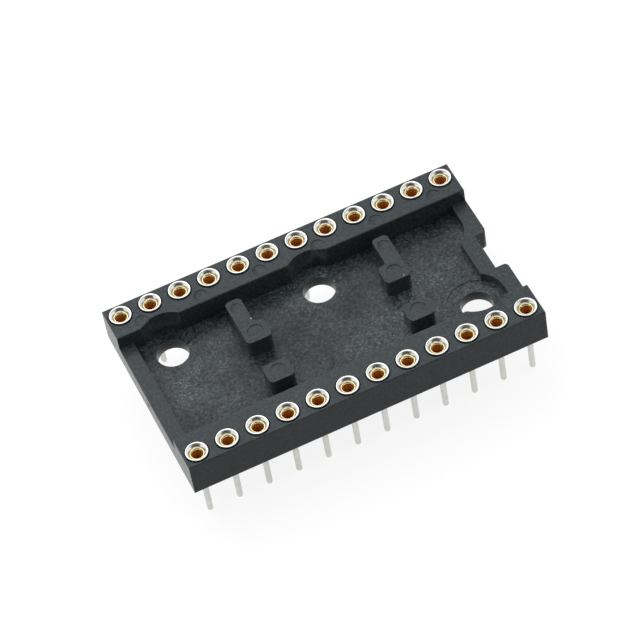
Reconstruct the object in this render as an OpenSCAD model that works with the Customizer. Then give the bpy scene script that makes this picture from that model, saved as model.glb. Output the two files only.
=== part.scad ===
// Dual in-line socket with turned, screw-machined contacts.
// A moulded frame holds two rows of contacts. Each contact is a turned sleeve, pressed into the frame,
// with a slit spring clip pressed into the sleeve's mouth.
// Origin: centre of the contact pattern, on the board that the sleeves' shoulders stand on.
// X runs along the rows, Z points up, and the key notch is at the +X end. Millimetres.

/* [Contact layout] */
// Contacts in each of the two rows
contacts_per_row = 12; // [10:1:14]
// Distance between neighbouring contacts of a row
pitch = 2.54; // [2.3:0.01:3]
// Distance between the two rows, centre to centre
row_spacing = 15.24; // [14.5:0.01:18]

/* [Frame] */
// Clearance that the frame's length leaves, so that sockets stand end to end
stacking_gap = 0.25; // [0.05:0.05:0.6]
// Height of the frame's underside over the board
standoff = 1.015; // [0.7:0.005:1.5]
// Height of the rails that carry the contacts
rail_h = 3.175; // [2.9:0.005:3.6]
// Width of each rail
rail_w = 3.175; // [2.8:0.005:3.6]
// Distance from a row's centre line to the frame's outer side
row_to_side = 1.145; // [1.1:0.005:1.6]
// Broken edge round the top of each rail
rail_edge = 0.07; // [0.02:0.01:0.15]
// Thickness of the floor between the rails
floor_t = 1.045; // [0.8:0.005:1.4]
// Height of the end walls over the frame's underside
end_wall_h = 1.875; // [1.5:0.005:2.4]
// Thickness of the end walls
end_wall_t = 1.25; // [1:0.05:1.6]

/* [Key notch] */
// Width of the notch in the end wall
notch_w = 3.7; // [2.5:0.05:4.2]
// Depth of the notch
notch_depth = 1; // [0.6:0.05:1.2]
// Thickness of the wall that stays behind the notch
notch_wall = 1.3; // [0.8:0.05:1.6]
// Radius on the notch's outer corners
notch_round = 0.35; // [0.1:0.05:0.5]

/* [Screw holes] */
// Diameter of the three screw holes through the floor
screw_d = 2.6; // [2.1:0.05:3]
// Distance of the screw holes from the long centre line
screw_y = 3.81; // [3.4:0.01:4]
// Diameter of the round relief for a screw head
relief_d = 4.84; // [4.4:0.02:4.9]
// Depth of the head's seat below the floor
seat_depth = 0.05; // [0.04:0.01:0.2]

/* [Support posts] */
// Height of the posts over the floor
post_h = 1.7; // [1.2:0.05:2]
// Centre of the post pattern along the rows
post_mid_x = 0.8; // [0:0.05:1.2]
// Distance between the centres of the two post columns
post_spacing = 12; // [11:0.05:13]
// Width of a post along the rows
post_w = 2.14; // [1.8:0.02:2.4]
// Depth of a post across the rows
post_depth = 1.85; // [1.6:0.05:2.2]
// Radius on the posts' upright edges
post_round = 0.4; // [0.15:0.05:0.6]
// Straight length between a long post's round edge and its inner fillet
post_flat = 0.02; // [0.01:0.01:0.1]
// Front face of the long posts, from the long centre line
long_post_y = 0.24; // [0:0.02:0.5]
// Overall depth of the long posts
long_post_depth = 4.7; // [4:0.05:5]
// Width of the long posts' stem
stem_w = 1.36; // [1:0.02:1.7]
// Front face of the short posts, from the long centre line
short_post_y = -4.14; // [-4.6:0.02:-3.6]

/* [Moulding marks] */
// Width of the scar that the gate leaves on the plain end
gate_w = 0.45; // [0.3:0.05:0.8]
// Height of the gate scar
gate_h = 0.3; // [0.2:0.05:0.5]
// Depth of the gate scar
gate_depth = 0.1; // [0.05:0.01:0.2]
// Middle of the gate scar over the frame's underside
gate_z = 1.05; // [0.6:0.05:1.4]
// Depth of the round marks that the ejector pins leave
mark_depth = 0.07; // [0.03:0.01:0.12]
// Diameter of the marks on the rails
rail_mark_d = 1.15; // [0.8:0.05:1.3]
// Distance of the rail marks from the rail's inner face
rail_mark_inset = 0.7; // [0.62:0.02:1]
// Diameter of the marks on the posts
post_mark_d = 1.36; // [1:0.02:1.5]
// Diameter of the marks on the long posts' stems
stem_mark_d = 1; // [0.6:0.05:1.1]

/* [Turned sleeve] */
// Diameter of the sleeve's head
head_d = 1.8; // [1.6:0.02:1.9]
// Thickness of the head
head_t = 0.45; // [0.3:0.01:0.6]
// How far the head stands above the rail
head_proud = 0.12; // [0.05:0.01:0.2]
// Radial gap round the head in its counterbore
head_gap = 0.1; // [0.04:0.01:0.12]
// Broken edge round the head
head_edge = 0.05; // [0.02:0.01:0.08]
// Flat width of the head's rim, inside the broken edge
rim_w = 0.04; // [0.02:0.01:0.1]
// Depth of the funnel in the head
funnel_depth = 0.29; // [0.18:0.01:0.35]
// Diameter of the barrel that is pressed into the frame
barrel_d = 1.46; // [1.36:0.02:1.54]
// Radial gap drawn between the barrel and its hole
barrel_gap = 0.01; // [0.005:0.005:0.03]
// Gap drawn under the head
seat_gap = 0.01; // [0.005:0.005:0.03]
// Height of the tapered shoulder at the barrel's foot
shoulder_h = 0.5; // [0.3:0.02:0.6]
// Diameter of the flat that stands on the board
shoulder_d = 0.8; // [0.7:0.02:1]
// Depth of the clip's bore below the head's top
bore_depth = 3.3; // [2.9:0.05:3.5]
// Diameter of the solder tail
tail_d = 0.48; // [0.4:0.01:0.6]
// Length of the solder tail below the board's top
tail_l = 3.2; // [2.5:0.05:4]
// Length of the rounded tip
tip_l = 0.22; // [0.1:0.01:0.3]

/* [Spring clip] */
// Outer diameter of the clip's band
clip_d = 1.1; // [1.04:0.02:1.14]
// Radial gap drawn between the clip and the sleeve
clip_gap = 0.025; // [0.01:0.005:0.04]
// Thickness of the clip's metal
clip_t = 0.13; // [0.1:0.01:0.14]
// Width of the flat ring round the clip's mouth
lip_w = 0.03; // [0.02:0.01:0.05]
// Depth of the flared mouth
mouth_l = 0.15; // [0.08:0.01:0.2]
// Length of the closed band, mouth included
band_l = 0.86; // [0.7:0.02:1.1]
// Length of the fingers below the band
finger_l = 1.6; // [1.2:0.05:1.7]
// Free gap between opposite fingertips
finger_gap = 0.34; // [0.26:0.02:0.42]
// Width of the slits between the fingers
slit_w = 0.14; // [0.1:0.01:0.18]

/* [Hidden] */
$fn = 48;
// Cutters run past the faces that they open by this much.
past = 1;

row_l = (contacts_per_row - 1) * pitch;
frame_l = contacts_per_row * pitch - stacking_gap;
frame_w = row_spacing + 2 * row_to_side;
rail_inner_y = frame_w / 2 - rail_w;
// Floor and end walls are rooted in the middle of the rails, and the floor in the middle of the end walls.
root_y = (frame_w - rail_w) / 2;
root_x = (frame_l - end_wall_t) / 2;
rail_top = standoff + rail_h;
floor_top = standoff + floor_t;
// Posts are rooted in the middle of the floor.
post_root = standoff + floor_t / 2;
post_top = floor_top + post_h;
post_rise = post_top - post_root;
post_fillet = post_w - stem_w - post_round - post_flat;

screw_x = row_l / 2 - pitch;
SCREWS = [[-screw_x, screw_y], [pitch / 2, screw_y], [screw_x, -screw_y]];

head_top = rail_top + head_proud;
head_seat = head_top - head_t;
funnel_d = head_d - 2 * head_edge - 2 * rim_w;
clip_top = head_top - funnel_depth;
band_end = clip_top - band_l;
fingertip = band_end - finger_l;
bore_end = head_top - bore_depth;

// Marks lie midway between contacts, at every second gap of the row.
MARK_GAPS = [for (x = [(pitch - row_l) / 2:2 * pitch:row_l / 2]) x];

// Contacts are counted from the notched end along the +Y row, and back along the -Y row.
contact_count = 2 * contacts_per_row;
function two_digits(n) = n < 10 ? str("0", n) : str(n);
function sleeve_name(n) = str("contact_sleeve_", two_digits(n));
function clip_name(n) = str("contact_clip_", two_digits(n));
function in_far_row(n) = n <= contacts_per_row;
function contact_x(n) =
    in_far_row(n) ? row_l / 2 - (n - 1) * pitch : (n - 1 - contacts_per_row) * pitch - row_l / 2;
function contact_y(n) = (in_far_row(n) ? 1 : -1) * row_spacing / 2;

module at_contact(n) {
    translate([contact_x(n), contact_y(n), 0])
        children();
}

// A bar along X with the four edges of its top face broken.
module broken_edge_bar(length, width, height, edge) {
    intersection() {
        rotate([90, 0, 90])
            translate([0, 0, -length / 2 - past])
                linear_extrude(length + 2 * past)
                    broken_edge_profile(width, height, edge);
        rotate([90, 0, 0])
            translate([0, 0, -width / 2 - past])
                linear_extrude(width + 2 * past)
                    broken_edge_profile(length, height, edge);
    }
}

module broken_edge_profile(width, height, edge) {
    polygon([
        [-width / 2, 0],
        [width / 2, 0],
        [width / 2, height - edge],
        [width / 2 - edge, height],
        [edge - width / 2, height],
        [-width / 2, height - edge]
    ]);
}

// A block from the origin's corner, with round upright edges.
module rounded_block(width, depth, height, radius) {
    translate([radius, 0, 0])
        cube([width - 2 * radius, depth, height]);
    translate([0, radius, 0])
        cube([width, depth - 2 * radius, height]);
    for (x = [radius, width - radius], y = [radius, depth - radius])
        translate([x, y, 0])
            cylinder(r = radius, h = height);
}

// What a round of this radius takes off a square corner at the origin, or fills in an inner one.
// It reaches past both sides of the corner, into what it joins.
module corner_spandrel(radius, height) {
    difference() {
        translate([-radius, -radius, 0])
            cube([2 * radius, 2 * radius, height]);
        translate([radius, radius, -past])
            cylinder(r = radius, h = height + 2 * past);
    }
}

module rails() {
    for (side = [-1, 1])
        translate([0, side * (frame_w - rail_w) / 2, standoff])
            broken_edge_bar(frame_l, rail_w, rail_h, rail_edge);
}

module floor_plate() {
    translate([-root_x, -root_y, standoff])
        cube([2 * root_x, 2 * root_y, floor_t]);
}

module plain_end_wall() {
    translate([-frame_l / 2, -root_y, standoff])
        cube([end_wall_t, 2 * root_y, end_wall_h]);
}

// The wall is thicker behind the notch, with hollow flanks beside the screw-head reliefs.
module notched_end_wall() {
    pad_x = frame_l / 2 - notch_depth - notch_wall;
    difference() {
        union() {
            translate([frame_l / 2 - end_wall_t, -root_y, standoff])
                cube([end_wall_t, 2 * root_y, end_wall_h]);
            translate([pad_x, -screw_y, standoff])
                cube([root_x - pad_x, 2 * screw_y, end_wall_h]);
        }
        for (side = [-1, 1])
            translate([screw_x, side * screw_y, floor_top])
                cylinder(d = relief_d, h = end_wall_h);
    }
}

module key_notch() {
    height = end_wall_h + 2 * past;
    translate([frame_l / 2, 0, standoff - past]) {
        translate([-notch_depth, -notch_w / 2, 0])
            cube([notch_depth + past, notch_w, height]);
        for (side = [0, 1])
            mirror([0, side, 0])
                translate([0, notch_w / 2, 0])
                    mirror([1, 0, 0])
                        corner_spandrel(notch_round, height);
    }
}

// A post's outline starts at its front outer corner, and its depth runs towards the +Y rail.
module short_post() {
    translate([-post_w / 2, short_post_y, post_root])
        rounded_block(post_w, post_depth, post_rise, post_round);
}

module long_post() {
    translate([-post_w / 2, long_post_y, post_root]) {
        rounded_block(post_w, post_depth, post_rise, post_round);
        rounded_block(stem_w, long_post_depth, post_rise, post_round);
        translate([stem_w, post_depth, 0])
            corner_spandrel(post_fillet, post_rise);
    }
}

// The two columns of posts mirror each other.
module at_post_columns() {
    translate([post_mid_x, 0, 0])
        for (side = [0, 1])
            mirror([side, 0, 0])
                translate([-post_spacing / 2, 0, 0])
                    children();
}

module contact_hole() {
    translate([0, 0, standoff - past])
        cylinder(d = barrel_d + 2 * barrel_gap, h = rail_h + 2 * past);
    translate([0, 0, head_seat - seat_gap])
        cylinder(d = head_d + 2 * head_gap, h = head_t + seat_gap + past);
}

module screw_holes() {
    for (place = SCREWS)
        translate([place[0], place[1], 0]) {
            translate([0, 0, standoff - past])
                cylinder(d = screw_d, h = floor_t + 2 * past);
            translate([0, 0, floor_top - seat_depth])
                cylinder(d = relief_d, h = rail_h);
        }
}

module gate_scar() {
    translate([-frame_l / 2 - past, -gate_w / 2, standoff + gate_z - gate_h / 2])
        cube([gate_depth + past, gate_w, gate_h]);
}

module ejector_mark(diameter, surface) {
    translate([0, 0, surface - mark_depth])
        cylinder(d = diameter, h = mark_depth + past);
}

module ejector_marks() {
    mark_y = rail_inner_y + rail_mark_inset;
    for (x = MARK_GAPS)
        translate([x, mark_y, 0])
            ejector_mark(rail_mark_d, rail_top);
    translate([MARK_GAPS[len(MARK_GAPS) - 1], -mark_y, 0])
        ejector_mark(rail_mark_d, rail_top);
    at_post_columns() {
        translate([0, short_post_y + post_depth / 2, 0])
            ejector_mark(post_mark_d, post_top);
        translate([0, long_post_y + post_depth / 2, 0])
            ejector_mark(post_mark_d, post_top);
        translate([(stem_w - post_w) / 2, long_post_y + long_post_depth - post_depth / 2, 0])
            ejector_mark(stem_mark_d, post_top);
    }
}

module insulator() {
    color("#2c3032")
        difference() {
            union() {
                rails();
                floor_plate();
                plain_end_wall();
                notched_end_wall();
                at_post_columns() {
                    short_post();
                    long_post();
                }
            }
            key_notch();
            screw_holes();
            gate_scar();
            ejector_marks();
            for (n = [1:contact_count])
                at_contact(n)
                    contact_hole();
        }
}

// One turned profile: tail, shoulder, barrel, head and funnel, with a blind bore for the clip.
module contact_sleeve() {
    tip_steps = 4;
    tail_end = -tail_l;
    bore_r = clip_d / 2 + clip_gap;
    color("#cfccc0")
        rotate_extrude()
            polygon(concat(
                [[0, tail_end]],
                [for (step = [1:tip_steps]) let (turn = 90 * step / tip_steps)
                    [tail_d / 2 * sin(turn), tail_end + tip_l * (1 - cos(turn))]],
                [
                    [tail_d / 2, 0],
                    [shoulder_d / 2, 0],
                    [barrel_d / 2, shoulder_h],
                    [barrel_d / 2, head_seat],
                    [head_d / 2, head_seat],
                    [head_d / 2, head_top - head_edge],
                    [head_d / 2 - head_edge, head_top],
                    [funnel_d / 2, head_top],
                    [bore_r, clip_top],
                    [bore_r, bore_end],
                    [0, bore_end]
                ]
            ));
}

// A closed band with a flared mouth, and below it four fingers that close towards the middle of the bore.
module contact_clip() {
    inner_r = clip_d / 2 - clip_t;
    color("#c9a04a")
        difference() {
            rotate_extrude()
                polygon([
                    [clip_d / 2 - lip_w, clip_top],
                    [clip_d / 2, clip_top],
                    [clip_d / 2, band_end],
                    [finger_gap / 2 + clip_t, fingertip],
                    [finger_gap / 2, fingertip],
                    [inner_r, band_end],
                    [inner_r, clip_top - mouth_l]
                ]);
            for (turn = [0, 90])
                rotate([0, 0, turn])
                    translate([-clip_d / 2, -slit_w / 2, fingertip - past])
                        cube([clip_d, slit_w, finger_l + past]);
        }
}

insulator();
for (n = [1:contact_count]) {
    at_contact(n) contact_sleeve();
    at_contact(n) contact_clip();
}
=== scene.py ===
# %% [markdown]
# # A dual in-line socket with turned contacts
# This lesson dresses a socket for a 24-lead package. The real one is a dark moulded frame about 30 mm long.
# It carries two rows of twelve turned contacts, each a tin-plated sleeve with a gold-plated spring clip
# pressed into its mouth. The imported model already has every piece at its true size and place, so we load it
# first and work in its frame, in metres. Loading leaves its objects selected, and an operator acts on all
# that is selected, so we deselect them. Sizes are written in millimetres and turned to metres with MM.

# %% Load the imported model
import math

import bpy
from mathutils import Matrix, Vector


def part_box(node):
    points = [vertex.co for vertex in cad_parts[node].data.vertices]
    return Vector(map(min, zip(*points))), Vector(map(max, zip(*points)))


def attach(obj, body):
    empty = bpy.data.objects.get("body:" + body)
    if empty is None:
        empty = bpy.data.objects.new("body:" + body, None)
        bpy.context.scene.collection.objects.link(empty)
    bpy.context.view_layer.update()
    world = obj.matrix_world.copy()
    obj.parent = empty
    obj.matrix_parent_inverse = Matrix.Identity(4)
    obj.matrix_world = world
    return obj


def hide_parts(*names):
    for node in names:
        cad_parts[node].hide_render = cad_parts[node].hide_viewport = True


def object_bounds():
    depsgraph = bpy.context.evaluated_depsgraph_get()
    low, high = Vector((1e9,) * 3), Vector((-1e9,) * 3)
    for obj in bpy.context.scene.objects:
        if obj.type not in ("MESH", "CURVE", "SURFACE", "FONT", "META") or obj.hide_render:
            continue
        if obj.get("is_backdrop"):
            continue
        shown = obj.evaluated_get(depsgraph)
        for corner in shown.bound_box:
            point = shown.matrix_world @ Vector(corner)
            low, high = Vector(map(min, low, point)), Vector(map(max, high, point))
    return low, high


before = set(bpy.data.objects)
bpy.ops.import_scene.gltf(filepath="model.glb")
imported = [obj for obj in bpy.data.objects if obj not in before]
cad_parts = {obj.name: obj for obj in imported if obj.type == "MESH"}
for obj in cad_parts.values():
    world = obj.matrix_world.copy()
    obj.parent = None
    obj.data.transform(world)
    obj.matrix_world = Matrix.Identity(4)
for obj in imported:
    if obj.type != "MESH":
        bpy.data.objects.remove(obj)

MM = 0.001
cad_box = [list(corner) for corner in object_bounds()]
bpy.ops.object.select_all(action="DESELECT")
print("pieces in the frame:", len(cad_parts))
print("size in mm:", [round((high - low) / MM, 2) for low, high in zip(*cad_box)])

# %% [markdown]
# ## Camera
# The photograph looks down on the socket from the front left, and the camera is tilted a little about its
# own line of sight. A camera could be placed by eye, but the rows stand on a known 2.54 mm grid, so the view
# can be worked out: a turn round the upright, a height above the horizon, a roll, and a long lens far away,
# as for a product picture.

# %% Place the camera
VIEW_TURN = math.radians(-16.13)
VIEW_HEIGHT = math.radians(50.78)
VIEW_ROLL = math.radians(-10.9)
VIEW_AIM = Vector((-0.445, -0.7, 4.19)) * MM
VIEW_DISTANCE = 278.45 * MM
NEAREST_SEEN = 10 * MM
LENS_IN_PIXELS, PICTURE_SIDE, SENSOR = 3586.4, 640, 36

turned = (Matrix.Rotation(VIEW_TURN, 3, "Z") @ Matrix.Rotation(math.radians(90) - VIEW_HEIGHT, 3, "X")
          @ Matrix.Rotation(VIEW_ROLL, 3, "Z"))
viewpoint = VIEW_AIM + turned @ Vector((0, 0, VIEW_DISTANCE))
bpy.ops.object.camera_add(location=viewpoint, rotation=turned.to_euler())
camera = bpy.context.object
camera.name = "photo_camera"
camera.data.sensor_width = SENSOR
camera.data.lens = LENS_IN_PIXELS / PICTURE_SIDE * SENSOR
camera.data.clip_start = NEAREST_SEEN
bpy.context.scene.camera = camera
print("lens", round(camera.data.lens, 1), "mm, camera at", [round(x / MM, 1) for x in viewpoint], "mm")

# %% [markdown]
# ## Colours and nodes
# Colours are written as the sRGB hex values that a paint program shows. Shaders work in linear light, so one
# function turns them over. A second small function adds a shader node with its settings and links. With
# these two, each material below reads like a recipe. Maths and mix nodes repeat their input names, so their
# inputs go by number. In a mix node 0 is the share of the second value, 2 and 3 are numbers, 6 and 7 are
# colours, and its output 2 is the mixed colour.

# %% Two small helpers
def linear(hex_colour):
    """An sRGB hex colour as linear RGBA, by the formula of the sRGB standard."""
    parts = [int(hex_colour[i:i + 2], 16) / 255 for i in (1, 3, 5)]
    return [p / 12.92 if p <= 0.04045 else ((p + 0.055) / 1.055) ** 2.4 for p in parts] + [1]


def add_node(tree, kind, inputs=None, **settings):
    """A node with its settings, and each input set to a value or linked to another node's output."""
    node = tree.nodes.new(kind)
    for name, value in settings.items():
        setattr(node, name, value)
    for name, value in (inputs or {}).items():
        if isinstance(value, bpy.types.NodeSocket):
            tree.links.new(value, node.inputs[name])
        else:
            node.inputs[name].default_value = value
    return node


print("mid grey #808080 in linear light:", round(linear("#808080")[0], 3))

# %% [markdown]
# ## White sheet
# Product pictures are often taken on a white sheet that is lit until it goes pure white. More light on the
# object would bleach it too, so the sheet gives a part of its white by itself, and only to rays that look at
# it: from the camera, in a reflection or through something clear. The other part is ordinary matt white, so
# the socket still casts its soft shadow.

# %% Lay the white sheet
SHEET_SIDE = 4000 * MM
OWN_WHITE, MATT_WHITE = 0.86, 0.2
bpy.ops.mesh.primitive_plane_add(size=SHEET_SIDE, location=(0, 0, cad_box[0][2]))
floor = bpy.context.object
floor.name = "white_sheet"
floor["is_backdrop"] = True

paper = bpy.data.materials.new("white_paper_sheet")
paper.use_nodes = True
tree = paper.node_tree
tree.nodes.clear()
path = add_node(tree, "ShaderNodeLightPath").outputs
seen = add_node(tree, "ShaderNodeMath", {0: path["Is Camera Ray"], 1: path["Is Glossy Ray"]},
                operation="MAXIMUM")
seen = add_node(tree, "ShaderNodeMath", {0: seen.outputs[0], 1: path["Is Transmission Ray"]},
                operation="MAXIMUM")
glow = add_node(tree, "ShaderNodeMath", {0: seen.outputs[0], 1: OWN_WHITE}, operation="MULTIPLY")
own_white = add_node(tree, "ShaderNodeEmission", {"Strength": glow.outputs[0]})
matt_white = add_node(tree, "ShaderNodeBsdfDiffuse", {"Color": (MATT_WHITE, MATT_WHITE, MATT_WHITE, 1)})
both = add_node(tree, "ShaderNodeAddShader", {0: own_white.outputs[0], 1: matt_white.outputs[0]})
add_node(tree, "ShaderNodeOutputMaterial", {"Surface": both.outputs[0]})
floor.data.materials.append(paper)
print("white sheet at", round(cad_box[0][2] / MM, 2), "mm")

# %% [markdown]
# ## Light
# The tops of the real rails are lit and the walls that face the camera are nearly black, so the light comes
# from above and behind, through a large soft box. The room round it is a white tent, open and dark on the
# side of the camera. More lamps could fill the room instead, but turned metal shows all that stands round
# it. Bright tent walls make the funnels white, and the dark opening gives each of them its small dark patch
# at the back.

# %% Hang the soft box
# An area lamp shines along its own -Z, so its +Z is turned away from the socket.
LAMP_PLACE = Vector((-40, 160, 300)) * MM
LAMP_SIDE = 320 * MM
LAMP_WATTS = 0.5
facing_socket = LAMP_PLACE.to_track_quat("Z", "Y").to_euler()
bpy.ops.object.light_add(type="AREA", location=LAMP_PLACE, rotation=facing_socket)
lamp = bpy.context.object
lamp.name = "soft_box_above"
lamp.data.size = LAMP_SIDE
lamp.data.energy = LAMP_WATTS
print("soft box", round(LAMP_PLACE.length / MM), "mm from the socket")

# %% Put up the tent
# Edges are cosines of the angle from the middle of the opening. Heights are sines of the angle of elevation.
OPENING_EDGE, TENT_EDGE = 0.68, 0.38
OPENING_LIGHT, TENT_LIGHT = 0.08, 1.0
LOW_ON_WALL, HIGH_ON_WALL = 0.1, 0.8
LOW_LIGHT, HIGH_LIGHT = 1.5, 0.8
room = bpy.data.worlds.new("studio_room")
room.use_nodes = True
bpy.context.scene.world = room
tree = room.node_tree
tree.nodes.clear()
path = add_node(tree, "ShaderNodeLightPath").outputs
looking = add_node(tree, "ShaderNodeTexCoord").outputs["Generated"]
front = Vector((camera.location.x, camera.location.y, 0)).normalized()
ahead = add_node(tree, "ShaderNodeVectorMath", {0: looking, 1: front}, operation="DOT_PRODUCT")
tent = add_node(tree, "ShaderNodeMapRange", {
    "Value": ahead.outputs["Value"], "From Min": OPENING_EDGE, "From Max": TENT_EDGE,
    "To Min": OPENING_LIGHT, "To Max": TENT_LIGHT}, interpolation_type="SMOOTHSTEP")
rise = add_node(tree, "ShaderNodeSeparateXYZ", {"Vector": looking})
walls = add_node(tree, "ShaderNodeMapRange", {
    "Value": rise.outputs["Z"], "From Min": LOW_ON_WALL, "From Max": HIGH_ON_WALL,
    "To Min": LOW_LIGHT, "To Max": HIGH_LIGHT})
light = add_node(tree, "ShaderNodeMath", {0: tent.outputs[0], 1: walls.outputs[0]}, operation="MULTIPLY")
level = add_node(tree, "ShaderNodeMix", {0: path["Is Camera Ray"], 2: light.outputs[0], 3: 1.0})
glow = add_node(tree, "ShaderNodeBackground", {"Strength": level.outputs[0]})
add_node(tree, "ShaderNodeOutputWorld", {"Surface": glow.outputs[0]})
bpy.context.scene.view_settings.view_transform = "Standard"
print("tent opening faces", [round(x, 2) for x in front])

# %% [markdown]
# ## Moulded frame
# The frame is one injection moulding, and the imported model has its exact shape: rails, floor, posts, reliefs
# and notch. Building it again would only add errors. So a copy of its mesh is merged into one skin, its flat
# faces are joined, and its edges get the tiny round that every moulding tool leaves. That round is what
# catches the light. The round marks of the ejector pins, the screw seats and the seats of the contacts'
# heads keep their edges as they are, because they are too shallow or hidden.

# %% Merge the moulding's skin
SAME_POINT = 0.001
FLAT_WITHIN = math.radians(0.5)


def edit(thing, mode="EDGE"):
    """Opens one object alone in edit mode, with nothing selected."""
    bpy.ops.object.select_all(action="DESELECT")
    thing.select_set(True)
    bpy.context.view_layer.objects.active = thing
    bpy.ops.object.mode_set(mode="EDIT")
    bpy.ops.mesh.select_mode(type=mode)
    bpy.ops.mesh.select_all(action="DESELECT")


moulding = bpy.data.objects.new("moulded_frame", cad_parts["insulator"].data.copy())
bpy.context.scene.collection.objects.link(moulding)
edit(moulding)
bpy.ops.mesh.select_all(action="SELECT")
bpy.ops.mesh.customdata_custom_splitnormals_clear()
bpy.ops.mesh.remove_doubles(threshold=SAME_POINT * MM)
bpy.ops.mesh.dissolve_limited(angle_limit=FLAT_WITHIN, delimit={"NORMAL"})
bpy.ops.object.mode_set(mode="OBJECT")
print("faces after merging:", len(moulding.data.polygons))

# %% Round its edges
# A face is upright where its normal rises by less than UPRIGHT, and a wall lower than SHALLOW is a mark's.
EDGE_ROUND, ROUND_STEPS = 0.03, 2
SHARP_FROM = math.radians(30)
SHALLOW, UPRIGHT = 0.08, 0.1
HEAD_SEAT, SEAT_WITHIN = 3.86, 0.02
mesh = moulding.data
heights = [v.co.z / MM for v in mesh.vertices]
shallow = set()
for face in mesh.polygons:
    levels = [heights[i] for i in face.vertices]
    if abs(face.normal.z) < UPRIGHT and max(levels) - min(levels) < SHALLOW:
        shallow.update(face.vertices)
edit(moulding)
bpy.ops.mesh.edges_select_sharp(sharpness=SHARP_FROM)
bpy.ops.object.mode_set(mode="OBJECT")
for edge in mesh.edges:
    in_a_mark = shallow.issuperset(edge.vertices)
    under_a_head = all(abs(heights[i] - HEAD_SEAT) < SEAT_WITHIN for i in edge.vertices)
    edge.select = edge.select and not in_a_mark and not under_a_head
rounded = sum(edge.select for edge in mesh.edges)
bpy.ops.object.mode_set(mode="EDIT")
bpy.ops.mesh.bevel(offset=EDGE_ROUND * MM, segments=ROUND_STEPS, affect="EDGES", clamp_overlap=False)
bpy.ops.object.mode_set(mode="OBJECT")
print("edges rounded:", rounded, "- faces now:", len(mesh.polygons))

# %% [markdown]
# ## Edges with wear and a painted highlight
# Handling rubs the edges of a dark moulding paler, and the tiny round on each edge catches the light as a thin
# pale line. Both are painted into the colour here, so the pale strip is partly wear and partly a painted
# highlight. The material could look for sharp corners as it renders, but the rounding has just left narrow
# strips there, so the strips are noted in an attribute that the material can read. Upright corners are left
# out, because top and bottom edges are the first to meet trays and hands.

# %% Note the edges' wear and painted highlight, and shade the skin smooth
RUB_AND_HIGHLIGHT_WIDTH = 0.1
SMOOTH_UP_TO = math.radians(35)
# A narrow strip that is not upright is marked to be painted paler: partly wear, partly a painted highlight.
worn_and_highlit = []
for face in mesh.polygons:
    points = [mesh.vertices[i].co for i in face.vertices]
    girth = sum((b - a).length for a, b in zip(points, points[1:] + points[:1]))
    worn_and_highlit.append(float(2 * face.area / girth < RUB_AND_HIGHLIGHT_WIDTH * MM and abs(face.normal.z) > UPRIGHT))
mesh.attributes.new("rub_and_highlight", "FLOAT", "FACE").data.foreach_set("value", worn_and_highlit)
bpy.ops.object.shade_smooth_by_angle(angle=SMOOTH_UP_TO)
bpy.ops.object.modifier_add(type="WEIGHTED_NORMAL")
moulding.modifiers[-1].keep_sharp = True
bpy.ops.object.modifier_apply(modifier=moulding.modifiers[-1].name)
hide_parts("insulator")
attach(moulding, "root")
triangles = sum(len(face.vertices) - 2 for face in mesh.polygons)
print("rubbed faces:", round(sum(worn_and_highlit)), "- triangles:", triangles)

# %% [markdown]
# ## Glass-filled polyester
# The moulding is black polyester with short glass fibres. It comes out of a spark-eroded tool with a matt,
# faintly mottled skin, and fibres near the surface show as pale flecks, most of all on the floor, where the
# plastic flows in. A flat dark grey would look like a toy. So three noises of different sizes vary the
# colour: soft clouds, the mottle, and the flecks, which are drawn out along the flow. A few specks of dust
# lie about. The mottle also varies the gloss, and a fine noise raises a slight bump. First the material has
# to know where the floor is: low down, and facing up.

# %% Find the floor of the moulding
ABOVE_FLOOR, AT_FLOOR = 2.3, 2.12
SIDEWAYS, UPWARDS = 0.3, 0.7
polyester = bpy.data.materials.new("glass_filled_polyester")
polyester.use_nodes = True
tree = polyester.node_tree
shader = tree.nodes["Principled BSDF"]
coordinates = add_node(tree, "ShaderNodeTexCoord").outputs
where = coordinates["Object"]
height = add_node(tree, "ShaderNodeSeparateXYZ", {"Vector": where}).outputs["Z"]
facing = add_node(tree, "ShaderNodeSeparateXYZ", {"Vector": coordinates["Normal"]}).outputs["Z"]
low_down = add_node(tree, "ShaderNodeMapRange", {
    "Value": height, "From Min": ABOVE_FLOOR * MM, "From Max": AT_FLOOR * MM})
upward = add_node(tree, "ShaderNodeMapRange", {"Value": facing, "From Min": SIDEWAYS, "From Max": UPWARDS})
on_floor = add_node(tree, "ShaderNodeMath", {
    0: low_down.outputs[0], 1: upward.outputs[0]}, operation="MULTIPLY")
print("the floor lies below", ABOVE_FLOOR, "mm")

# %% Mix the mottled tone
# The skin over the rails and posts is nearly even. On the floor it is mottled, its tone drifts with the
# clouds, and its middle tone, seen between the flecks, is set a little darker as painted shade for the floor
# deep in the pocket. Most of a noise lies between NOISE_LOW and NOISE_HIGH.
CLOUD, MOTTLE = 4.5, 0.24
NOISE_LOW, NOISE_HIGH = 0.3, 0.7
RAIL_CONTRAST, FLOOR_CONTRAST = 0.4, 0.8
RAIL_MIDDLE, FLOOR_SHADED_MIDDLE, DRIFT = 0.3, 0.07, 0.08
SKIN_TONES = (0.36, "#1b2022"), (0.75, "#5a6367")
cloud = add_node(tree, "ShaderNodeTexNoise", {"Vector": where, "Scale": 1 / (CLOUD * MM), "Detail": 3})
mottle = add_node(tree, "ShaderNodeTexNoise", {
    "Vector": where, "Scale": 1 / (MOTTLE * MM), "Detail": 4, "Roughness": 0.65})
contrast = add_node(tree, "ShaderNodeMath", {
    0: on_floor.outputs[0], 1: FLOOR_CONTRAST - RAIL_CONTRAST, 2: RAIL_CONTRAST}, operation="MULTIPLY_ADD")
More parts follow.
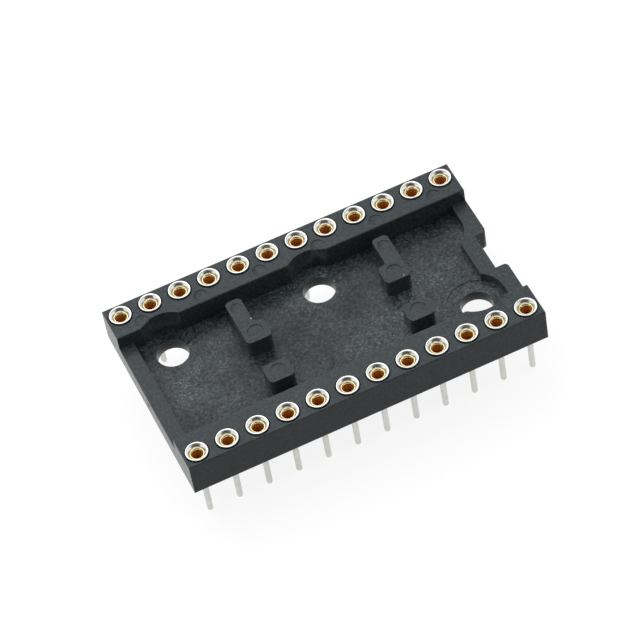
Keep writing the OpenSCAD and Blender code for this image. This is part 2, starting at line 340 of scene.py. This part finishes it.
# The floor's lower middle tone is painted shade.
middle = add_node(tree, "ShaderNodeMath", {
    0: on_floor.outputs[0], 1: FLOOR_SHADED_MIDDLE - RAIL_MIDDLE, 2: RAIL_MIDDLE}, operation="MULTIPLY_ADD")
drift = add_node(tree, "ShaderNodeMapRange", {
    "Value": cloud.outputs["Fac"], "From Min": NOISE_LOW, "From Max": NOISE_HIGH,
    "To Min": -DRIFT, "To Max": DRIFT})
middle = add_node(tree, "ShaderNodeMath", {
    0: drift.outputs[0], 1: on_floor.outputs[0], 2: middle.outputs[0]}, operation="MULTIPLY_ADD")
patchy = add_node(tree, "ShaderNodeMath", {
    0: mottle.outputs["Fac"], 1: contrast.outputs[0], 2: middle.outputs[0]}, operation="MULTIPLY_ADD")
tone = add_node(tree, "ShaderNodeValToRGB", {"Fac": patchy.outputs[0]})
for stop, (position, colour) in zip(tone.color_ramp.elements, SKIN_TONES):
    stop.position = position
    stop.color = linear(colour)
print("clouds of", CLOUD, "mm and a mottle of", MOTTLE, "mm")

# %% Add the flecks
# Fibres are about 0.01 by 0.2 mm. They are drawn ten times as thick, or they would not show. They are most
# plentiful where the clouds are pale.
FLECK_WIDTH, FLECK_LENGTH = 0.11, 0.2
FLECK_FROM, FLECK_FULL = 0.57, 0.74
CLOUD_FROM, CLOUD_FULL, FEWEST_FLECKS = 0.45, 0.7, 0.12
RAIL_FLECKS, FLOOR_FLECKS = 0.25, 1
flow = add_node(tree, "ShaderNodeMapping", {"Vector": where, "Scale": (FLECK_WIDTH / FLECK_LENGTH, 1, 1)})
fleck = add_node(tree, "ShaderNodeTexNoise", {
    "Vector": flow.outputs[0], "Scale": 1 / (FLECK_WIDTH * MM), "Detail": 1})
fleck_amount = add_node(tree, "ShaderNodeMapRange", {
    "Value": fleck.outputs["Fac"], "From Min": FLECK_FROM, "From Max": FLECK_FULL})
cloud_amount = add_node(tree, "ShaderNodeMapRange", {
    "Value": cloud.outputs["Fac"], "From Min": CLOUD_FROM, "From Max": CLOUD_FULL,
    "To Min": FEWEST_FLECKS, "To Max": 1.0})
floor_amount = add_node(tree, "ShaderNodeMath", {
    0: on_floor.outputs[0], 1: FLOOR_FLECKS - RAIL_FLECKS, 2: RAIL_FLECKS}, operation="MULTIPLY_ADD")
pale = add_node(tree, "ShaderNodeMath", {
    0: fleck_amount.outputs[0], 1: cloud_amount.outputs[0]}, operation="MULTIPLY")
pale = add_node(tree, "ShaderNodeMath", {
    0: pale.outputs[0], 1: floor_amount.outputs[0]}, operation="MULTIPLY")
flecked = add_node(tree, "ShaderNodeMix", {
    0: pale.outputs[0], 6: tone.outputs[0], 7: linear("#8a9092")}, data_type="RGBA")
print("flecks of", FLECK_WIDTH, "by", FLECK_LENGTH, "mm")

# %% Add dust, and the edges' wear and painted highlight
DUST, DUST_APART, DUSTY_SHARE = 0.06, 1.8, 0.4
specks = add_node(tree, "ShaderNodeTexVoronoi", {"Vector": where, "Scale": 1 / (DUST_APART * MM)})
near = add_node(tree, "ShaderNodeMath", {
    0: specks.outputs["Distance"], 1: DUST / DUST_APART}, operation="LESS_THAN")
chance = add_node(tree, "ShaderNodeSeparateColor", {"Color": specks.outputs["Color"]})
chosen = add_node(tree, "ShaderNodeMath", {0: chance.outputs[0], 1: DUSTY_SHARE}, operation="LESS_THAN")
dust = add_node(tree, "ShaderNodeMath", {0: near.outputs[0], 1: chosen.outputs[0]}, operation="MULTIPLY")
dusty = add_node(tree, "ShaderNodeMix", {
    0: dust.outputs[0], 6: flecked.outputs[2], 7: linear("#b4b8b4")}, data_type="RGBA")
rub_and_highlight = add_node(tree, "ShaderNodeAttribute", attribute_name="rub_and_highlight")
rub_and_highlight_share = add_node(tree, "ShaderNodeMath", {
    0: rub_and_highlight.outputs["Fac"], 1: mottle.outputs["Fac"]}, operation="MULTIPLY")
# The pale edge colour is partly wear and partly a painted highlight on the edge's round.
coloured = add_node(tree, "ShaderNodeMix", {
    0: rub_and_highlight_share.outputs[0], 6: dusty.outputs[2], 7: linear("#50575a")}, data_type="RGBA")
tree.links.new(coloured.outputs[2], shader.inputs["Base Color"])
print("specks of dust about", DUST_APART, "mm apart, and", DUSTY_SHARE, "of them shown")

# %% Set the gloss and the bump
# Polyester has an IOR of about 1.55. The specular level is low, because the real skin reflects little.
ERODED, ERODED_DEPTH = 0.07, 0.012
GLOSSIEST, DULLEST = 0.16, 0.32
dull = add_node(tree, "ShaderNodeMapRange", {
    "Value": mottle.outputs["Fac"], "From Min": NOISE_LOW, "From Max": NOISE_HIGH,
    "To Min": GLOSSIEST, "To Max": DULLEST})
tree.links.new(dull.outputs[0], shader.inputs["Roughness"])
eroded = add_node(tree, "ShaderNodeTexNoise", {"Vector": where, "Scale": 1 / (ERODED * MM), "Detail": 2})
bump = add_node(tree, "ShaderNodeBump", {
    "Strength": 0.5, "Distance": ERODED_DEPTH * MM, "Height": eroded.outputs["Fac"]})
tree.links.new(bump.outputs[0], shader.inputs["Normal"])
shader.inputs["IOR"].default_value = 1.55
shader.inputs["Specular IOR Level"].default_value = 0.15
moulding.data.materials.clear()
moulding.data.materials.append(polyester)
print("polyester nodes:", len(tree.nodes))

# %% [markdown]
# ## Turned sleeve
# A sleeve comes off an automatic lathe: a bar turned to a thin tail, a tapered shoulder that stands on the
# board, a barrel that is pressed into the frame, and a head with a funnel and a drilled bore. The funnel's
# wall curves like the bell of a trumpet, so that a lead slides in from any side. Stacked cylinders would
# give the steps, but not the funnel. Spinning one profile about its axis is what a lathe does. The rings
# where two cuts meet are then picked by their radius and height and rounded, as the tool's nose and the
# plating round the real ones.

# %% Draw a profile, spin it and round its rings
TURNED_STEPS, RING_STEPS = 64, 4
SAME_TURNED_POINT = 0.0005
TURNED_SMOOTH_UP_TO = math.radians(40)


def spun(name, profile, rounds):
    """Spins a profile of (radius, height) about the Z axis and rounds {point: size}, all in mm."""
    bpy.ops.object.select_all(action="DESELECT")
    bpy.ops.mesh.primitive_plane_add(size=MM)
    piece = bpy.context.object
    piece.name = name
    edit(piece, "VERT")
    bpy.ops.mesh.select_all(action="SELECT")
    bpy.ops.mesh.merge(type="CENTER")
    bpy.ops.transform.translate(value=(profile[0][0] * MM, 0, profile[0][1] * MM))
    for (r0, z0), (r1, z1) in zip(profile, profile[1:]):
        step = ((r1 - r0) * MM, 0, (z1 - z0) * MM)
        bpy.ops.mesh.extrude_region_move(TRANSFORM_OT_translate={"value": step})
    bpy.ops.mesh.select_all(action="SELECT")
    bpy.ops.mesh.spin(steps=TURNED_STEPS, angle=math.tau, center=(0, 0, 0), axis=(0, 0, 1))
    bpy.ops.mesh.select_all(action="SELECT")
    bpy.ops.mesh.remove_doubles(threshold=SAME_TURNED_POINT * MM)
    bpy.ops.mesh.normals_make_consistent(inside=False)
    for ring, size in rounds.items():
        bpy.ops.mesh.select_mode(type="EDGE")
        bpy.ops.mesh.select_all(action="DESELECT")
        bpy.ops.object.mode_set(mode="OBJECT")
        on_ring = [math.dist((v.co.xy.length, v.co.z), [x * MM for x in ring]) < SAME_POINT * MM
                   for v in piece.data.vertices]
        for ring_edge in piece.data.edges:
            ring_edge.select = all(on_ring[i] for i in ring_edge.vertices)
        bpy.ops.object.mode_set(mode="EDIT")
        bpy.ops.mesh.bevel(offset=size * MM, segments=RING_STEPS, affect="EDGES", clamp_overlap=False)
    bpy.ops.object.mode_set(mode="OBJECT")
    bpy.ops.object.shade_smooth_by_angle(angle=TURNED_SMOOTH_UP_TO)
    return piece


print("steps round a turned piece:", TURNED_STEPS)

# %% Measure a packed contact
low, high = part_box("contact_sleeve_01")
TAIL_TIP, HEAD_TOP = low.z / MM, high.z / MM
HEAD_RADIUS = (high.x - low.x) / 2 / MM
low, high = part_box("contact_clip_01")
FINGERTIP, CLIP_TOP = low.z / MM, high.z / MM
CLIP_RADIUS = (high.x - low.x) / 2 / MM
print("sleeve from", round(TAIL_TIP, 2), "to", round(HEAD_TOP, 2), "mm, radius", round(HEAD_RADIUS, 3), "mm")
print("clip from", round(FINGERTIP, 2), "to", round(CLIP_TOP, 2), "mm, radius", round(CLIP_RADIUS, 3), "mm")

# %% Curve the funnel
# A straight cone would fall evenly. The bell starts at a share of that slope and steepens towards the bore.
RIM_RADIUS, BORE_RADIUS = 0.81, 0.552
FUNNEL_STEPS, RIM_SLOPE = 6, 0.42
funnel = []
for step in range(FUNNEL_STEPS + 1):
    way = step / FUNNEL_STEPS
    fall = RIM_SLOPE * way + (1 - RIM_SLOPE) * way ** 2
    funnel.append((RIM_RADIUS + (BORE_RADIUS - RIM_RADIUS) * way, HEAD_TOP + (CLIP_TOP - HEAD_TOP) * fall))
print("funnel:", len(funnel), "points,", round(HEAD_TOP - CLIP_TOP, 2), "mm deep")

# %% Spin the sleeve
BOARD, SHOULDER, BORE_END = 0, 0.5, 1.01
TAIL_RADIUS, FOOT_RADIUS, BARREL_RADIUS = 0.24, 0.4, 0.73
tip_edge, foot_edge = (TAIL_RADIUS, TAIL_TIP), (FOOT_RADIUS, BOARD)
shoulder_edge, head_edge = (BARREL_RADIUS, SHOULDER), (HEAD_RADIUS, HEAD_TOP)
sleeve = spun("sleeve", [
    (0, TAIL_TIP), tip_edge, (TAIL_RADIUS, BOARD), foot_edge, shoulder_edge, (BARREL_RADIUS, HEAD_SEAT),
    (HEAD_RADIUS, HEAD_SEAT), head_edge, *funnel, (BORE_RADIUS, BORE_END), (0, BORE_END),
], {tip_edge: 0.2, foot_edge: 0.03, shoulder_edge: 0.05, head_edge: 0.04})
print("sleeve:", len(sleeve.data.polygons), "faces,", [round(x / MM, 2) for x in sleeve.dimensions], "mm")

# %% [markdown]
# ## Spring clip
# The clip is stamped from thin beryllium copper and rolled into a band. Its mouth flares out to the foot of
# the funnel, and below the band four fingers bend towards the middle of the bore, where they grip the lead.
# It could be bent from a flat strip, but it is as round as the sleeve, so its profile is spun too, and two
# crossed blades then cut the slits between the fingers. Such cuts can leave doubled points, so these are
# merged.

# %% Spin the clip
FLARE_END, BAND_END = 3.9, 3.16
MOUTH_RADIUS, BAND_RADIUS = 0.51, 0.42
TIP_OUTER_RADIUS, TIP_INNER_RADIUS = 0.3, 0.17
flare_edge = (BAND_RADIUS, FLARE_END)
clip = spun("clip", [
    (MOUTH_RADIUS, CLIP_TOP), (CLIP_RADIUS, CLIP_TOP), (CLIP_RADIUS, BAND_END),
    (TIP_OUTER_RADIUS, FINGERTIP), (TIP_INNER_RADIUS, FINGERTIP),
    (BAND_RADIUS, BAND_END), flare_edge, (MOUTH_RADIUS, CLIP_TOP),
], {flare_edge: 0.02})
print("clip:", len(clip.data.polygons), "faces,", [round(x / MM, 2) for x in clip.dimensions], "mm")

# %% Cut its slits
SLIT, BLADE_LENGTH = 0.14, 2
for turn in (0, math.pi / 2):
    bpy.ops.object.select_all(action="DESELECT")
    bpy.ops.mesh.primitive_cube_add(
        size=1, location=(0, 0, (BAND_END + BORE_END) / 2 * MM), rotation=(0, 0, turn),
        scale=(BLADE_LENGTH * MM, SLIT * MM, (BAND_END - BORE_END) * MM))
    blade = bpy.context.object
    bpy.context.view_layer.objects.active = clip
    cut = clip.modifiers.new("slit", "BOOLEAN")
    cut.operation, cut.solver, cut.object = "DIFFERENCE", "EXACT", blade
    bpy.ops.object.modifier_apply(modifier=cut.name)
    bpy.data.objects.remove(blade)
edit(clip, "VERT")
bpy.ops.mesh.select_all(action="SELECT")
bpy.ops.mesh.remove_doubles(threshold=SAME_TURNED_POINT * MM)
bpy.ops.object.mode_set(mode="OBJECT")
bpy.ops.object.shade_smooth_by_angle(angle=TURNED_SMOOTH_UP_TO)
print("slit clip:", len(clip.data.polygons), "faces")

# %% [markdown]
# ## Where the lathe's marks run
# Turning leaves fine rings round the axis. Twenty-four sleeves have twenty-four axes, so a ring pattern
# can't be read from one shared coordinate. Instead each point of the two master pieces keeps its own radius
# and height as an attribute, and its copies carry it along.

# %% Keep radius and height on each point
for master in (sleeve, clip):
    turning = master.data.attributes.new("turning", "FLOAT_VECTOR", "POINT")
    for value, vertex in zip(turning.data, master.data.vertices):
        value.vector = (vertex.co.xy.length, vertex.co.z, 0)
print("points with a radius and height:", len(sleeve.data.vertices) + len(clip.data.vertices))

# %% [markdown]
# ## Tin and gold
# The sleeve's brass is plated with bright tin: a nearly white metal with fine rings from the lathe and a
# soft haze where it has been handled. The tails are handled most, so they are duller. The clip is gold over
# nickel. Deep in the bore, light bounces from gold to gold and turns redder each time. A render follows only
# a few of these bounces, so with depth the material takes a deeper colour and scatters more light. One
# material then serves mouth and fingers.

# %% Start a plated metal
HAZE = 0.4


def plated(name, tones):
    """A metal whose colour follows a soft haze, with nodes named haze, tone and turning to build on."""
    metal = bpy.data.materials.new(name)
    metal.use_nodes = True
    tree = metal.node_tree
    where = add_node(tree, "ShaderNodeTexCoord").outputs["Object"]
    haze = add_node(tree, "ShaderNodeTexNoise", {
        "Vector": where, "Scale": 1 / (HAZE * MM), "Detail": 3}, name="haze")
    tone = add_node(tree, "ShaderNodeValToRGB", {"Fac": haze.outputs["Fac"]}, name="tone")
    for stop, (position, colour) in zip(tone.color_ramp.elements, tones):
        stop.position = position
        stop.color = linear(colour)
    add_node(tree, "ShaderNodeAttribute", name="turning", attribute_name="turning")
    return metal


print("haze in patches of", HAZE, "mm")

# %% Plate the sleeves with tin
BRIGHT_ABOVE, HANDLED_BELOW = 0.6, 0.2
HAZE_LOW, HAZE_HIGH = 0.35, 0.65
DULL_TIN, BRIGHT_TIN, HANDLED_DULLER = 0.3, 0.2, 0.3
tin = plated("bright_tin_plate", ((0.35, "#dadbd4"), (0.6, "#f0f1ec")))
tree = tin.node_tree
shader = tree.nodes["Principled BSDF"]
axis_place = tree.nodes["turning"].outputs["Vector"]
level = add_node(tree, "ShaderNodeSeparateXYZ", {"Vector": axis_place}).outputs["Y"]
handled = add_node(tree, "ShaderNodeMapRange", {
    "Value": level, "From Min": BRIGHT_ABOVE * MM, "From Max": HANDLED_BELOW * MM})
dulled = add_node(tree, "ShaderNodeMix", {
    0: handled.outputs[0], 6: tree.nodes["tone"].outputs[0], 7: linear("#dedfd9")}, data_type="RGBA")
tree.links.new(dulled.outputs[2], shader.inputs["Base Color"])
dull = add_node(tree, "ShaderNodeMapRange", {
    "Value": tree.nodes["haze"].outputs["Fac"], "From Min": HAZE_LOW, "From Max": HAZE_HIGH,
    "To Min": DULL_TIN, "To Max": BRIGHT_TIN})
dull = add_node(tree, "ShaderNodeMath", {
    0: handled.outputs[0], 1: HANDLED_DULLER, 2: dull.outputs[0]}, operation="MULTIPLY_ADD")
tree.links.new(dull.outputs[0], shader.inputs["Roughness"])
shader.inputs["Metallic"].default_value = 1
sleeve.data.materials.append(tin)
print("tin nodes:", len(tree.nodes))

# %% Raise the lathe's rings
# A lathe's feed is about 0.02 mm a turn. The rings are drawn wider, so that they show.
RING, RING_DEPTH = 0.05, 0.004
rings = add_node(tree, "ShaderNodeTexNoise", {"Vector": axis_place, "Scale": 1 / (RING * MM), "Detail": 2})
bump = add_node(tree, "ShaderNodeBump", {
    "Strength": 0.35, "Distance": RING_DEPTH * MM, "Height": rings.outputs["Fac"]})
tree.links.new(bump.outputs[0], shader.inputs["Normal"])
print("rings of", RING, "mm")

# %% Plate the clips with gold
PALE_ABOVE, DEEP_BELOW = 3.82, 3.6
PALE_ROUGHNESS, DEEP_ROUGHNESS = 0.25, 0.6
PALE_METALLIC, DEEP_METALLIC = 1.0, 0.3
gold = plated("gold_plate", ((0.35, "#ecd79c"), (0.65, "#f8e9ba")))
tree = gold.node_tree
shader = tree.nodes["Principled BSDF"]
axis_place = tree.nodes["turning"].outputs["Vector"]
level = add_node(tree, "ShaderNodeSeparateXYZ", {"Vector": axis_place}).outputs["Y"]
deep = add_node(tree, "ShaderNodeMapRange", {
    "Value": level, "From Min": PALE_ABOVE * MM, "From Max": DEEP_BELOW * MM})
deepened = add_node(tree, "ShaderNodeMix", {
    0: deep.outputs[0], 6: tree.nodes["tone"].outputs[0], 7: linear("#d08127")}, data_type="RGBA")
tree.links.new(deepened.outputs[2], shader.inputs["Base Color"])
dull = add_node(tree, "ShaderNodeMapRange", {
    "Value": deep.outputs[0], "To Min": PALE_ROUGHNESS, "To Max": DEEP_ROUGHNESS})
tree.links.new(dull.outputs[0], shader.inputs["Roughness"])
metallic = add_node(tree, "ShaderNodeMapRange", {
    "Value": deep.outputs[0], "To Min": PALE_METALLIC, "To Max": DEEP_METALLIC})
tree.links.new(metallic.outputs[0], shader.inputs["Metallic"])
clip.data.materials.append(gold)
print("gold nodes:", len(tree.nodes))

# %% [markdown]
# ## Twenty-four contacts
# All contacts come off the same machine, so one sleeve and one clip are enough to model. Linked copies would
# share one mesh, but each finished piece has to hold its own place in its mesh, so every copy is a real one.
# A press sets each contact as it falls, so each copy is turned by a different angle, and the slits don't
# line up like soldiers.

# %% Copy the contacts into the rows
CONTACTS, TURN_EACH = 24, 137.5
for number in range(1, CONTACTS + 1):
    low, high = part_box("contact_sleeve_%02d" % number)
    for kind, master in (("sleeve", sleeve), ("clip", clip)):
        bpy.ops.object.select_all(action="DESELECT")
        master.select_set(True)
        bpy.context.view_layer.objects.active = master
        bpy.ops.object.duplicate(linked=False)
        copy = bpy.context.object
        copy.name = "turned_%s_%02d" % (kind, number)
        copy.rotation_euler.z = math.radians(TURN_EACH * number)
        copy.location = ((low.x + high.x) / 2, (low.y + high.y) / 2, 0)
        bpy.ops.object.transform_apply(location=True, rotation=True, scale=True)
        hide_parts("contact_%s_%02d" % (kind, number))
        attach(copy, "root")
for master in (sleeve, clip):
    bpy.data.objects.remove(master)
print("contacts:", CONTACTS)

# %% Compare the sizes and finish
visual_box = [list(corner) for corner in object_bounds()]
for title, packed, dressed in zip(("low", "high"), cad_box, visual_box):
    print(title, "corner moved in mm:", [round((new - old) / MM, 3) for old, new in zip(packed, dressed)])
